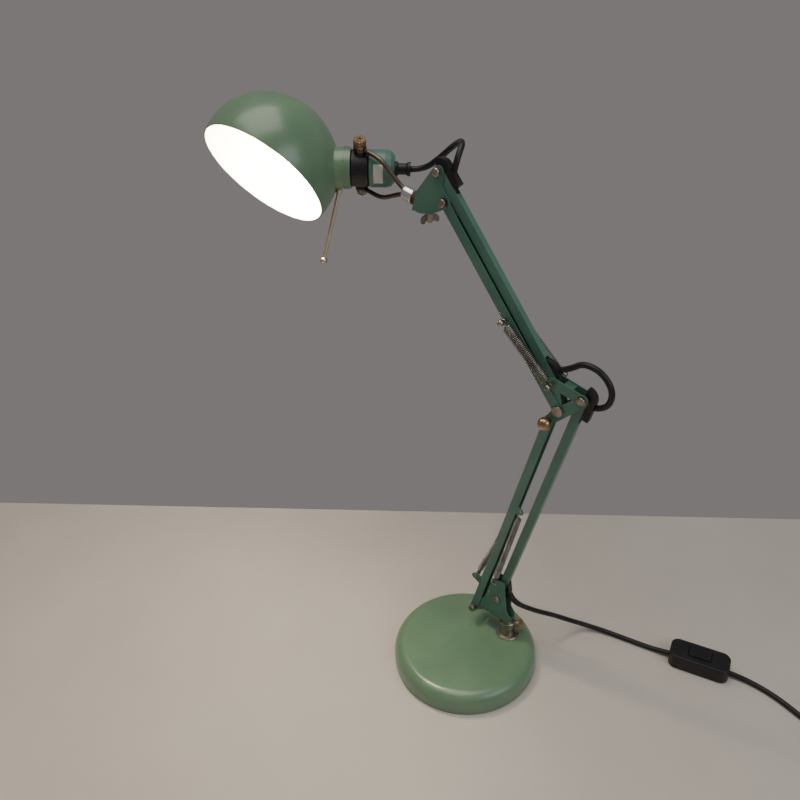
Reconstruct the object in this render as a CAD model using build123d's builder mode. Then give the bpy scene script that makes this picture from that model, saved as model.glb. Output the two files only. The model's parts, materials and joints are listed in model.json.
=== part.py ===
from build123d import *
from math import cos, pi, radians, sin, tan
import os

# Balanced-arm desk lamp, millimetres. Origin: swivel axis on the table. +X: the way the arm reaches.
# +Z: up. The two arms move in the plane y = 0; their pins lie along Y.

os.makedirs("parts", exist_ok=True)

# ---- driving dimensions ----
sheet = 1.0                     # folded steel of the front bars
thin_sheet = 0.6                # folded steel of the rear bars, which hold the cord
bar_half = 4.0                  # half of a bar's width in the plane of the arm
pin_r = 2.0
long_pin_r = 1.8
running = 0.05                  # radial clearance of a pin in its hole
loose = 0.2                     # the same where a linkage closes, and in the moulded switch
plate_inner = 4.4               # bracket plates, distance from the middle plane
plate_outer = 5.6
cord_d = 5.2
cord_clear = 0.05

base_centre = (32.0, 35.2)
base_r = 75.0
base_top = 22.2
base_edge = 11.7
base_wall = 1.3
pad_r = 73.0

lower_length = 266.8
lower_angle = 106.66
upper_length = 194.65
upper_angle = 55.65

# pivots of the linkage, (x, z)
pivot_a1 = (38.2, 43.5)         # lower front bar, foot
pivot_b1 = (10.6, 69.1)         # lower rear bar, foot
pivot_d = (-46.1, 310.3)        # upper front bar, lower end
pivot_p = (-40.2, 334.0)        # upper rear bar, lower end


def along(start, angle, distance, rear=0.0):
    """Point (x, z) at a distance along a bar and an offset to its rear."""
    c, s = cos(radians(angle)), sin(radians(angle))
    return (start[0] + distance * c - rear * s, start[1] + distance * s + rear * c)


pivot_a2 = along(pivot_a1, lower_angle, lower_length)
pivot_b2 = along(pivot_b1, lower_angle, lower_length)
pivot_h3 = along(pivot_d, upper_angle, upper_length)
pivot_h1 = along(pivot_p, upper_angle, upper_length)

# head: clamp of the fork, its axis, the tilt axis and the lampholder's axis
clamp = Vector(104.24, 0, 473.18)
fork_dir = Vector(0.941, 0, 0.339).normalized()
fork_reach = 57.0
tilt_point = clamp + fork_dir * fork_reach
holder_dir = Vector(0.795, 0.602, 0.074).normalized()
tilt_dir = fork_dir.cross(holder_dir).normalized()
fork_half = 20.0

shade_r = 61.0
shade_wall = 1.2
shade_depth = 11.0              # rim plane below the sphere's centre
shade_up = Vector(-0.063, -0.775, 0.629).normalized()
shade_offset = 80.66            # sphere's centre along the lampholder's axis
shade_centre = tilt_point + holder_dir * shade_offset


# ---- helpers ----
def save(piece, name):
    """Label a finished piece and write it."""
    piece.part.label = name
    export_step(piece.part, "parts/" + name + ".step")


def side_plane(x, z, y=0.0):
    """Plane across a pin: its normal is +Y."""
    return Plane(origin=(x, y, z), x_dir=(1, 0, 0), z_dir=(0, 1, 0))


def bar_plane(start, angle):
    """Plane of a bar: x along the bar, y to its rear, normal to -Y."""
    a = radians(angle)
    return Plane(origin=(start[0], 0, start[1]), x_dir=(cos(a), 0, sin(a)), z_dir=(0, -1, 0))


def xz(point, y=0.0):
    """Point in space of an (x, z) pair."""
    return Vector(point[0], y, point[1])


def turned(origin, direction, outline):
    """A turned piece. The outline is (radius, distance along the axis) pairs, closed by itself."""
    direction = Vector(*direction).normalized()
    seed = Vector(0, 0, 1) if abs(direction.Z) < 0.9 else Vector(1, 0, 0)
    side = direction.cross(seed).normalized()
    with BuildPart() as piece:
        with BuildSketch(Plane(origin=origin, x_dir=side, z_dir=side.cross(direction))):
            with BuildLine():
                Polyline(*outline, close=True)
            make_face()
        revolve(axis=Axis(origin, direction))
    return piece


def cross_pin(point, stages):
    """A pin along Y, as (y from, y to, radius) stages that touch one another."""
    with BuildPart() as piece:
        for y_from, y_to, radius in stages:
            with BuildSketch(side_plane(point[0], point[1], y_from)):
                Circle(radius)
            extrude(amount=y_to - y_from)
    return piece


def bend_radii(points):
    """Largest arc that each corner of a cord's route has room for."""
    points = [Vector(*p) for p in points]
    radii = []
    for before, corner, after in zip(points, points[1:], points[2:]):
        first, second = corner - before, after - corner
        half_turn = radians(first.get_angle(second)) / 2
        radii.append(0.45 * min(first.length, second.length) / tan(half_turn))
    return radii


def cord_tube(points, radius=cord_d / 2, name=None):
    """A length of cord: straight runs joined by tangent arcs."""
    radii = bend_radii(points)
    if name:
        print(name, "bend radii", [round(r, 1) for r in radii])
    with BuildPart() as piece:
        with BuildLine() as route:
            FilletPolyline(*points, radius=radii)
        with BuildSketch(Plane(origin=route.line @ 0, z_dir=route.line % 0)):
            Circle(radius)
        sweep()
    if name:
        length = sum(edge.length for edge in route.line.edges())
        ratio = piece.part.volume / (pi * radius ** 2 * length)
        print(name, "length", round(length, 1), "volume ratio", round(ratio, 4))
    return piece


def beyond(route, distance, at_end=True):
    """Point straight on past an end of a cord's route."""
    last, inner = (route[-1], route[-2]) if at_end else (route[0], route[1])
    last, inner = Vector(*last), Vector(*inner)
    return last + (last - inner).normalized() * distance


def rod(start, end, radius):
    """Straight round rod between two points."""
    with BuildPart() as piece:
        with BuildSketch(Plane(origin=start, z_dir=end - start)):
            Circle(radius)
        extrude(amount=(end - start).length)
    return piece.part


def cord_bore(route):
    """The space that a cord needs in a guide, with a way out at both ends."""
    radius = cord_d / 2 + cord_clear
    with BuildPart() as piece:
        add(cord_tube(route, radius).part)
        add(rod(Vector(*route[0]), beyond(route, 6, False), radius))
        add(rod(Vector(*route[-1]), beyond(route, 6), radius))
    return piece.part


# ---- cord routes, mm ----
lower_cord_y = -0.9
upper_cord_y = 0.7
cord_gap = 0.1                  # between the ends of cord lengths that move apart


def in_bar(start, angle, pairs, y):
    """Points in space of (along, rear) pairs in a bar."""
    return [xz(along(start, angle, t, n), y) for t, n in pairs]


inner_lower_route = in_bar(
    pivot_b1, lower_angle, [(11.15, 9.7), (21.5, 0), (253.1, 0), (259.9, 4.06), (263.6, 11.2)], lower_cord_y)
inner_upper_route = in_bar(
    pivot_p, upper_angle, [(6.8, 10.5), (8.3, 4.2), (14.8, 0), (174, 0), (183.5, 5.0), (188.3, 11.2)],
    upper_cord_y)
tail_route = [
    beyond(inner_lower_route, cord_gap, False), beyond(inner_lower_route, 10, False), (-12.4, -13.0, 56.0)]
knee_route = [
    beyond(inner_lower_route, cord_gap), beyond(inner_lower_route, 9.5), (-89.5, -0.5, 336.0),
    (-79.5, 0.0, 351.0), (-63.5, 0.5, 356.0), beyond(inner_upper_route, 8, False),
    beyond(inner_upper_route, cord_gap, False)]
relief_end = tilt_point - holder_dir * 44
head_route = [
    beyond(inner_upper_route, cord_gap), beyond(inner_upper_route, 9.5), (56.5, -12.5, 516.5),
    (75.0, -27.5, 511.5), (95.9, -34.5, 499.0), relief_end - holder_dir * 12,
    relief_end - holder_dir * cord_gap]
lead_route = [
    beyond(tail_route, cord_gap), beyond(tail_route, 20), (-31.0, -43.5, 30.0), (-43.0, -58.0, 17.5),
    (-56.0, -70.5, 8.0), (-74.0, -78.4, 3.6), (-101.0, -82.4, 3.0), (-127.0, -85.4, 3.2),
    (-146.0, -88.7, 5.5)]
switch_start = Vector(-144.0, -88.4, 0)
switch_dir = Vector(-0.985, -0.17, 0).normalized()
switch_length = 57.0
lead_far_route = [
    (-200.0, -98.0, 5.5), (-220.0, -101.2, 3.2), (-246.0, -97.0, 2.9), (-274.0, -85.0, 2.9),
    (-302.0, -75.8, 2.9)]
coil_centre = (-318.0, -112.0)
coil_mean_r = 33.0
coil_turn_columns = 3
coil_turn_layers = 3

# ---- base ----
with BuildPart() as base_cover:
    with BuildSketch(Plane.XZ.offset(-base_centre[1])):
        with BuildLine():
            Polyline(
                (base_centre[0], base_top), (base_centre[0] + base_r - base_edge, base_top))
            RadiusArc(
                (base_centre[0] + base_r - base_edge, base_top),
                (base_centre[0] + base_r, base_top - base_edge), base_edge)
            Polyline(
                (base_centre[0] + base_r, base_top - base_edge), (base_centre[0] + base_r, 0.6),
                (base_centre[0] + base_r - base_wall, 0.6),
                (base_centre[0] + base_r - base_wall, base_top - base_edge))
            RadiusArc(
                (base_centre[0] + base_r - base_wall, base_top - base_edge),
                (base_centre[0] + base_r - base_edge, base_top - base_wall), base_wall - base_edge)
            Polyline(
                (base_centre[0] + base_r - base_edge, base_top - base_wall),
                (base_centre[0], base_top - base_wall), (base_centre[0], base_top))
        make_face()
    revolve(axis=Axis((base_centre[0], base_centre[1], 0), (0, 0, 1)))
    with BuildSketch(Plane.XY.offset(base_top + 1)):
        Circle(5.0 + running)
    extrude(amount=-4, mode=Mode.SUBTRACT)
save(base_cover, "base_cover")

with BuildPart() as base_weight:
    with BuildSketch(Plane.XY.offset(1.0)):
        with Locations(base_centre):
            Circle(72.0)
        Circle(14.0, mode=Mode.SUBTRACT)
    extrude(amount=12)
    top_rims = base_weight.edges().filter_by(GeomType.CIRCLE).group_by(Axis.Z)[-1]
    chamfer(top_rims.sort_by(SortBy.RADIUS)[-1], 1.5)
save(base_weight, "base_weight")

with BuildPart() as base_pad:
    with BuildSketch(Plane.XY):
        with Locations(base_centre):
            Circle(pad_r)
    extrude(amount=1.0)
save(base_pad, "base_pad")

socket_top = 41.0
screw_azimuth = 216.0
screw_z = 35.0
screw_dir = Vector(cos(radians(screw_azimuth)), sin(radians(screw_azimuth)), 0)
screw_plane = Plane(origin=(0, 0, screw_z), x_dir=(0, 0, 1), z_dir=screw_dir)
with BuildPart() as swivel_socket:
    add(turned((0, 0, 0), (0, 0, 1), [
        (4.05, 14.0), (5.0, 14.0), (5.0, base_top), (12.0, base_top), (12.0, 23.2), (11.2, 23.9), (8.4, 24.2),
        (8.0, 25.0), (8.0, 38.2), (8.6, 38.9), (8.6, 40.5), (8.1, socket_top), (4.05, socket_top)]).part)
    with BuildSketch(screw_plane):
        Circle(pin_r + running)
    extrude(amount=12, mode=Mode.SUBTRACT)
save(swivel_socket, "swivel_socket")

with BuildPart() as socket_nut:
    with BuildSketch(Plane.XY.offset(16.4)):
        RegularPolygon(9.2, 6)
        Circle(5.0 + running, mode=Mode.SUBTRACT)
    extrude(amount=4.4)
save(socket_nut, "socket_nut")

with BuildPart() as thumb_screw:
    with BuildSketch(screw_plane.offset(4.15)):
        Circle(pin_r)
    extrude(amount=8)
    with BuildSketch(screw_plane.offset(9.2)):
        Circle(3.4)
    extrude(amount=2.2)
    with BuildSketch(screw_plane.offset(11.4)):
        Circle(5.0)
        with PolarLocations(5.2, 12):
            Circle(0.7, mode=Mode.SUBTRACT)
    extrude(amount=4.4)
save(thumb_screw, "thumb_screw")


# ---- linkage bars ----
def front_bar(start, angle, length, top_clearance, notch):
    """U channel that carries no cord: web to the front, flanges outside the near bracket plates."""
    near, far = 6.8, -4.2
    with BuildPart() as piece:
        with BuildSketch(bar_plane(start, angle).offset(-near)):
            with Locations((length / 2, 0)):
                SlotCenterToCenter(length, 2 * bar_half)
        extrude(amount=near - far)
        inside = bar_plane(start, angle).offset(-near + sheet)
        with BuildSketch(inside):
            with Locations((length / 2, sheet)):
                Rectangle(length + 20, 2 * bar_half)
            with Locations((notch / 2 - 4, 0), (length - notch / 2 + 4, 0)):
                Rectangle(notch + 8, 4 * bar_half)
        extrude(amount=near - far - 2 * sheet, mode=Mode.SUBTRACT)
        with BuildSketch(bar_plane(start, angle).offset(-near)):
            Circle(pin_r + running)
            with Locations((length, 0)):
                Circle(pin_r + top_clearance)
        extrude(amount=near - far, mode=Mode.SUBTRACT)
    return piece


def rear_bar(start, angle, length, far, foot_r, notches):
    """U channel around the cord: web to the rear, cut away where the cord goes in and out."""
    width = 6.6
    with BuildPart() as piece:
        with BuildSketch(bar_plane(start, angle).offset(-far - width)):
            with Locations((length / 2, 0)):
                SlotCenterToCenter(length, 2 * bar_half)
        extrude(amount=width)
        with BuildSketch(bar_plane(start, angle).offset(-far - width + thin_sheet)):
            with Locations((length / 2, -thin_sheet)):
                Rectangle(length + 20, 2 * bar_half)
            with Locations((notches[0] / 2 - 4, 0), (length - notches[1] / 2 + 4, 0)):
                Rectangle(notches[0] + 8, 4 * bar_half)
        extrude(amount=width - 2 * thin_sheet, mode=Mode.SUBTRACT)
        with BuildSketch(bar_plane(start, angle).offset(-far - width)):
            Circle(foot_r)
            with Locations((length, 0)):
                Circle(pin_r + running)
        extrude(amount=width, mode=Mode.SUBTRACT)
    return piece


spring_pin_along = 143.5
near_ear = (158.0, 8.0)
with BuildPart() as lower_front_bar:
    add(front_bar(pivot_a1, lower_angle, lower_length, loose, 12).part)
    with BuildSketch(bar_plane(pivot_a1, lower_angle).offset(-6.8)):
        with Locations((near_ear[0], near_ear[1] / 2 + 1)):
            Rectangle(9, near_ear[1] - 2)
        with Locations(near_ear):
            Circle(3.2)
    extrude(amount=sheet)
    with BuildSketch(bar_plane(pivot_a1, lower_angle).offset(-6.8)):
        with Locations(near_ear):
            Circle(1.2)
    extrude(amount=sheet, mode=Mode.SUBTRACT)
    with BuildSketch(bar_plane(pivot_a1, lower_angle).offset(3.2)):
        with Locations((spring_pin_along, 0)):
            Circle(1.5 + running)
    extrude(amount=sheet, mode=Mode.SUBTRACT)
save(lower_front_bar, "lower_front_bar")

upper_pin_along = (87.0, -1.6)
with BuildPart() as upper_front_bar:
    add(front_bar(pivot_d, upper_angle, upper_length, loose, 14).part)
    with BuildSketch(bar_plane(pivot_d, upper_angle).offset(-6.8)):
        with Locations(upper_pin_along):
            Circle(1.5 + running)
    extrude(amount=11, mode=Mode.SUBTRACT)
save(upper_front_bar, "upper_front_bar")

save(rear_bar(pivot_b1, lower_angle, lower_length, -4.2, pin_r + running, (28, 20)), "lower_rear_bar")
save(rear_bar(pivot_p, upper_angle, upper_length, -2.6, long_pin_r + running, (22, 24)), "upper_rear_bar")


# ---- cord guides on the rear bars ----
def foot_guide(start, angle, outline, y_low, route):
    """Black block on a rear bar's foot that leads the cord through its web."""
    outer = bar_plane(start, angle).offset(-y_low - 6.4)
    with BuildPart() as piece:
        with BuildSketch(outer):
            with BuildLine():
                Polyline(*outline, close=True)
            make_face()
            fillet(vertices().sort_by(Axis.Y)[-2:], 1.2)
        extrude(amount=6.4)
        add(cord_bore(route), mode=Mode.SUBTRACT)
    return piece


def end_guide(start, angle, length, y_low, tail, route):
    """Black guide that wraps the rear of a rear bar's top end and runs a little way down it."""
    outer = bar_plane(start, angle).offset(-y_low - 6.4)
    with BuildPart() as piece:
        with BuildSketch(outer):
            with Locations((length, 0)):
                Circle(10.5)
            with Locations((length, -5.9)):
                Rectangle(24, 12, mode=Mode.SUBTRACT)
            with Locations((length - tail / 2, 7.3)):
                Rectangle(tail, 6.4)
            with Locations((length, 0)):
                Circle(bar_half + 0.15, mode=Mode.SUBTRACT)
            with Locations((length - tail, 0)):
                Rectangle(2 * tail, 2 * bar_half + 0.2, mode=Mode.SUBTRACT)
        extrude(amount=6.4)
        add(cord_bore(route), mode=Mode.SUBTRACT)
    return piece


save(foot_guide(pivot_b1, lower_angle, [(5, 4.1), (7, 8.2), (14, 9.6), (27, 4.1)], -4.1, inner_lower_route),
     "lower_cord_guide")
save(end_guide(pivot_b1, lower_angle, lower_length, -4.1, 18, inner_lower_route), "knee_cord_guide")
save(foot_guide(pivot_p, upper_angle, [(2, 4.1), (3, 8.6), (13, 8.6), (20, 4.1)], -2.5, inner_upper_route),
     "upper_cord_guide")
save(end_guide(pivot_p, upper_angle, upper_length, -2.5, 19, inner_upper_route), "head_cord_guide")

# ---- brackets ----
f1_hole = (13.0, 90.5)
front_pin = (43.5, 75.2)
rivet_r = 2.2                   # its sunk head, clear of the bar that swings past


def plate(points, rounds, y_from):
    """One flat bracket plate: a polygon and round lobes, from a distance from the middle plane."""
    with BuildPart() as piece:
        with BuildSketch(Plane.XZ.offset(-y_from)):
            Polygon(*points, align=None)
            for x, z, radius in rounds:
                with Locations((x, z)):
                    Circle(radius)
        extrude(amount=plate_inner - plate_outer)
    return piece.part


def drill(holes, radius, y_from=-8.0, amount=16.0):
    """Round bores along Y, to take out of a bracket's plates."""
    with BuildPart() as piece:
        with BuildSketch(Plane.XZ.offset(-y_from)):
            with Locations(*holes):
                Circle(radius)
        extrude(amount=-amount)
    return piece.part


lower_plate = [
    (1.5, 94.5), (15.5, 94.5), (17.5, 88), (26, 62), (41, 48.2), (34.5, 40.4), (25, 45.5), (13, 42.5),
    (8, 42.5), (-5, 42.5), (-5.6, 50), (-1.0, 57), (0.5, 80)]
with BuildPart() as lower_bracket:
    for y_from in (plate_inner, -plate_outer):
        add(plate(lower_plate, [(pivot_a1[0], pivot_a1[1], 5.0)], y_from))
    with BuildSketch(Plane.XZ.offset(plate_inner)):
        Polygon(
            (20, 76), (front_pin[0], front_pin[1] + 4), (front_pin[0], front_pin[1] - 4), (27, 58),
            align=None)
        with Locations(front_pin):
            Circle(4)
    extrude(amount=plate_outer - plate_inner)
    with BuildSketch(Plane.XY.offset(42.5)):
        with Locations((1.5, 0)):
            Rectangle(13, 2 * plate_outer)
    extrude(amount=1.4)
    add(drill([pivot_a1, pivot_b1], pin_r + running), mode=Mode.SUBTRACT)
    add(drill([f1_hole], 1.2, 4.0, 2.0), mode=Mode.SUBTRACT)
    add(drill([front_pin], 1.5 + running, -6.0, 2.0), mode=Mode.SUBTRACT)
    add(drill([front_pin], rivet_r + running, -4.95, 1.0), mode=Mode.SUBTRACT)
    with BuildSketch(Plane.XY.offset(42)):
        Circle(3.0 + running)
    extrude(amount=3, mode=Mode.SUBTRACT)
save(lower_bracket, "lower_bracket")

stem_pin = turned((0, 0, 0), (0, 0, 1), [
    (0, 15.0), (3.4, 15.0), (4.0, 15.8), (4.0, 41.1), (6.4, 41.1), (6.4, 42.4), (3.0, 42.4), (3.0, 44.0),
    (4.2, 44.0), (4.2, 45.2), (3.4, 46.2), (0, 46.2)])
save(stem_pin, "stem_pin")

with BuildPart() as knee_bracket:
    for y_from in (plate_inner, -plate_outer):
        add(plate(
            [(-69.5, 328.6), (-42.2, 338.4), (-35.6, 331.8), (-40.6, 309.6), (-34.4, 300.5), (-41.3, 295.6),
             (-69.8, 320.4)],
            [(*pivot_b2, 5.5), (*pivot_p, 5.0), (*pivot_d, 5.5), (*pivot_a2, 4.6)], y_from))
    with BuildSketch(Plane.XZ.offset(-8)):
        Polygon((-57.8, 323.4), (-46.4, 327.2), (-49.2, 316.2), align=None)
    extrude(amount=16, mode=Mode.SUBTRACT)
    with BuildSketch(Plane(origin=(-53.2, -plate_inner, 333.0), x_dir=(0.94, 0, 0.34), z_dir=(0, 1, 0))):
        Rectangle(9.0, 1.2)
    extrude(amount=2 * plate_inner)
    add(drill([pivot_b2, pivot_d, pivot_a2], pin_r + running), mode=Mode.SUBTRACT)
    add(drill([pivot_p], long_pin_r + running), mode=Mode.SUBTRACT)
save(knee_bracket, "knee_bracket")

web_centre = clamp - fork_dir * 10
wing_x = 83.5
with BuildPart() as head_bracket:
    for y_from in (plate_inner, -plate_outer):
        add(plate(
            [(66.0, 499.0), (72.5, 499.0), (92.6, 477.9), (98.0, 462.5), (90, 460), (79, 460), (63.7, 466.2),
             (59.2, 470), (61.5, 475.4), (66.2, 483.9), (65.0, 492)],
            [(*pivot_h1, 5.0), (*pivot_h3, 5.0)], y_from))
    with BuildSketch(Plane(origin=web_centre, x_dir=(0, 1, 0), z_dir=fork_dir)):
        Rectangle(2 * plate_outer, 16.4)
        Circle(3.0 + running, mode=Mode.SUBTRACT)
    extrude(amount=0.75, both=True)
    with BuildSketch(Plane.XY.offset(460)):
        with Locations((84.5, 0)):
            Rectangle(11, 2 * plate_outer)
        with Locations((wing_x, 0)):
            Circle(pin_r + running, mode=Mode.SUBTRACT)
    extrude(amount=1.3)
    add(drill([pivot_h1, pivot_h3], pin_r + running), mode=Mode.SUBTRACT)
save(head_bracket, "head_bracket")


# ---- pins and screws of the linkage ----
def capped_pin(point, near_face, reach):
    """Pin with a flat far head and a rounded near cap."""
    with BuildPart() as piece:
        with BuildSketch(side_plane(point[0], point[1], -7.4)):
            Circle(3.6)
        extrude(amount=1.7)
        fillet(piece.edges().filter_by(GeomType.CIRCLE).sort_by(Axis.Y)[0], 0.8)
        with BuildSketch(side_plane(point[0], point[1], -5.8)):
            Circle(pin_r)
        extrude(amount=near_face + 6.5)
        with BuildSketch(side_plane(point[0], point[1], near_face)):
            Circle(4.3)
        extrude(amount=0.9)
        with BuildSketch(side_plane(point[0], point[1], near_face + 0.9)):
            Circle(3.7)
        extrude(amount=reach - near_face - 0.9)
        crown = 0.8 * min(2.0, reach - near_face - 0.9)
        fillet(piece.edges().filter_by(GeomType.CIRCLE).sort_by(Axis.Y)[-1], crown)
    return piece


def bead_pin(point, radius, half, bead_r):
    """Long pin with a round bead on each end."""
    with BuildPart() as piece:
        with BuildSketch(side_plane(point[0], point[1], -half)):
            Circle(radius)
        extrude(amount=2 * half)
        with Locations((point[0], half, point[1]), (point[0], -half, point[1])):
            Sphere(bead_r)
    return piece


save(capped_pin(pivot_b2, 5.7, 8.2), "knee_rear_pin")
for pins_name, first_pin, second_pin in (
        ("lower_pivot_pins", (pivot_a1, 6.9, 12.6), (pivot_b1, 5.7, 8.2)),
        ("head_pivot_pins", (pivot_h1, 5.7, 10.4), (pivot_h3, 6.9, 11.4))):
    with BuildPart() as pivot_pins:
        add(capped_pin(*first_pin).part)
        add(capped_pin(*second_pin).part)
    save(pivot_pins, pins_name)
save(bead_pin(pivot_p, long_pin_r, 15.2, 2.9), "knee_long_pin")
upper_spring_point = along(pivot_d, upper_angle, *upper_pin_along)
save(bead_pin(upper_spring_point, 1.5, 15.2, 2.9), "upper_spring_pin")

with BuildPart() as knee_front_pin:
    with BuildSketch(side_plane(pivot_d[0], pivot_d[1], -7.4)):
        Circle(3.6)
    extrude(amount=1.7)
    with BuildSketch(side_plane(pivot_d[0], pivot_d[1], -5.8)):
        Circle(pin_r)
    extrude(amount=13)
    with BuildSketch(side_plane(pivot_d[0], pivot_d[1], 6.9)):
        Circle(5.0)
    extrude(amount=1.9)
    chamfer(knee_front_pin.edges().filter_by(GeomType.CIRCLE).sort_by(Axis.Y)[-1], 0.6)
save(knee_front_pin, "knee_front_pin")

save(cross_pin(pivot_a2, [(-7.4, -5.7, 3.6), (-5.7, 9.0, pin_r)]), "knee_knob_bolt")
with BuildPart() as knee_knob:
    with BuildSketch(side_plane(*pivot_a2, 6.9)):
        Circle(3.6)
    extrude(amount=3)
    with Locations((pivot_a2[0], 13.0, pivot_a2[1])):
        Sphere(6.0)
    with BuildSketch(side_plane(*pivot_a2, 6.0)):
        Circle(pin_r + running)
    extrude(amount=3.2, mode=Mode.SUBTRACT)
save(knee_knob, "knee_knob")

far_pin_point = along(pivot_a1, lower_angle, spring_pin_along)
save(cross_pin(far_pin_point, [
    (-12.4, -11.4, 2.4), (-11.4, -3.0, 1.5), (-3.0, -2.2, 2.4)]), "lower_spring_pin")
save(cross_pin(front_pin, [
    (-12.4, -11.4, 2.4), (-11.4, -6.6, 1.5), (-6.6, -5.65, 2.4), (-5.65, -4.9, 1.5),
    (-4.9, -4.45, rivet_r)]), "bracket_spring_pin")


# ---- springs, as plain closed solids of their outer shape ----
def coil_spring(parts):
    """Plain body of one or more springs, each (start, end, radius, hook length, eye inner radius)."""
    with BuildPart() as piece:
        for start, end, radius, hook, eye_r in parts:
            direction = (end - start).normalized()
            length = (end - start).length
            with BuildSketch(Plane(origin=start + direction * hook, z_dir=direction)):
                Circle(radius)
            extrude(amount=length - 2 * hook)
            with BuildSketch(Plane(origin=start + direction * (eye_r + 0.1), z_dir=direction)):
                Circle(0.6)
            extrude(amount=length - 2 * eye_r - 0.2)
    return piece


near_spring_y = 5.7
far_spring_y = -9.0
near_top = along(pivot_a1, lower_angle, *near_ear)
save(coil_spring([
    (Vector(f1_hole[0], near_spring_y + 0.8, f1_hole[1]), xz(near_top, 5.0), 2.9, 9.0, 0.8),
    (xz(front_pin, far_spring_y), xz(far_pin_point, far_spring_y), 3.0, 8.0, 1.5)]), "lower_springs")
save(coil_spring([
    (xz(pivot_p, y), xz(upper_spring_point, y), 4.0, 7.0, 1.8) for y in (-11.2, 11.2)]), "upper_springs")

# ---- fork that carries the lampholder ----
wire_d = 4.0


def fork_arm(side):
    """Centreline of one arm of the fork, from its eye to the clamp."""
    return [
        tilt_point + tilt_dir * (side * fork_half) - fork_dir * 5.3,
        tilt_point + tilt_dir * (side * fork_half) - fork_dir * 24,
        clamp + fork_dir * 9 + tilt_dir * (side * 3.4),
        clamp - fork_dir * 3 + tilt_dir * (side * 2.3)]


with BuildPart() as yoke_fork:
    for side in (1, -1):
        add(cord_tube(fork_arm(side), wire_d / 2).part)
        with BuildSketch(Plane(origin=tilt_point + tilt_dir * (side * fork_half), z_dir=tilt_dir)):
            Circle(5.8)
        extrude(amount=1.5, both=True)
        with BuildSketch(Plane(origin=tilt_point + tilt_dir * (side * fork_half), z_dir=tilt_dir)):
            Circle(pin_r + running)
        extrude(amount=3.5, both=True, mode=Mode.SUBTRACT)
save(yoke_fork, "yoke_fork")

with BuildPart() as yoke_ferrule:
    add(turned(clamp, fork_dir, [
        (0, -15.5), (2.6, -15.5), (3.0, -15), (3.0, -5), (5.6, -5), (6.2, -4.2), (6.2, 4.6), (5.2, 6),
        (0, 6)]).part)
    for side in (1, -1):
        add(cord_tube(fork_arm(side), wire_d / 2 + 0.05).part, mode=Mode.SUBTRACT)
save(yoke_ferrule, "yoke_ferrule")
save(turned(clamp, fork_dir, [(3.05, -9.2), (6.0, -9.2), (6.0, -5.05), (3.05, -5.05)]), "friction_ring")
with BuildPart() as yoke_lock_nut:
    with BuildSketch(Plane(origin=clamp - fork_dir * 14.4, z_dir=fork_dir)):
        RegularPolygon(4.1, 6)
        Circle(3.0 + running, mode=Mode.SUBTRACT)
    extrude(amount=3.5)
save(yoke_lock_nut, "yoke_lock_nut")

wing_screw = turned((wing_x, 0, 0), (0, 0, 1), [
    (0, 451.5), (1.6, 451.5), (pin_r, 452), (pin_r, 461.4), (3.4, 461.4), (3.4, 463.2), (2.6, 463.8),
    (0, 463.8)])
save(wing_screw, "wing_screw")
with BuildPart() as wing_nut:
    add(turned((wing_x, 0, 0), (0, 0, 1), [
        (pin_r + running, 453.4), (3.4, 453.4), (4.2, 459.2), (4.2, 459.9), (pin_r + running, 459.9)]).part)
    for side in (1, -1):
        wing_dir = Vector(0.35, 0.94, 0) * side
        wing_plane = Plane(origin=(wing_x, 0, 0), x_dir=wing_dir, z_dir=wing_dir.cross(Vector(0, 0, 1)))
        with BuildSketch(wing_plane):
            with BuildLine():
                Polyline((3.2, 459.0), (3.2, 454.6), (6.2, 451.4), (8.8, 451.8), (9.2, 455.0), (7.2, 458.0),
                         (3.2, 459.0))
            make_face()
        extrude(amount=0.8, both=True)
save(wing_nut, "wing_nut")

# ---- lampholder and shade ----
ring_r = 15.8
with BuildPart() as holder_ring:
    add(turned(tilt_point, holder_dir, [
        (14.05, -7.5), (ring_r - 1, -7.5), (ring_r, -6.5), (ring_r, 7.4), (ring_r - 1, 8.4),
        (14.05, 8.4)]).part)
    for side in (1, -1):
        with BuildSketch(Plane(origin=tilt_point + tilt_dir * (side * 15.0), z_dir=tilt_dir * side)):
            Circle(5.2)
        extrude(amount=2.8)
        with BuildSketch(Plane(origin=tilt_point + tilt_dir * (side * 14.5), z_dir=tilt_dir * side)):
            Circle(pin_r)
        extrude(amount=5, mode=Mode.SUBTRACT)
save(holder_ring, "holder_ring")

holder_cap = turned(tilt_point, holder_dir, [
    (14.5, -8.0), (16.0, -8.0), (16.0, -22.0), (14.8, -27.0), (11.5, -30.0), (4.6, -30.0), (4.6, -28.5),
    (10.8, -28.5), (13.4, -26.0), (14.5, -21.6)])
save(holder_cap, "holder_cap")

holder_core = turned(tilt_point, holder_dir, [
    (0, -8.0), (14.0, -8.0), (14.0, 30.0), (7.4, 30.0), (7.4, 13.0), (0, 13.0)])
save(holder_core, "holder_core")

strain_relief = turned(tilt_point, holder_dir, [
    (0, -27.0), (6.2, -27.0), (6.2, -28.4), (4.5, -28.4), (4.5, -30.1), (6.4, -30.1), (6.4, -32.0),
    (4.8, -33.5), (4.8, -40.0), (6.0, -41.5), (6.0, -44.0), (0, -44.0)])
save(strain_relief, "strain_relief")

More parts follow.
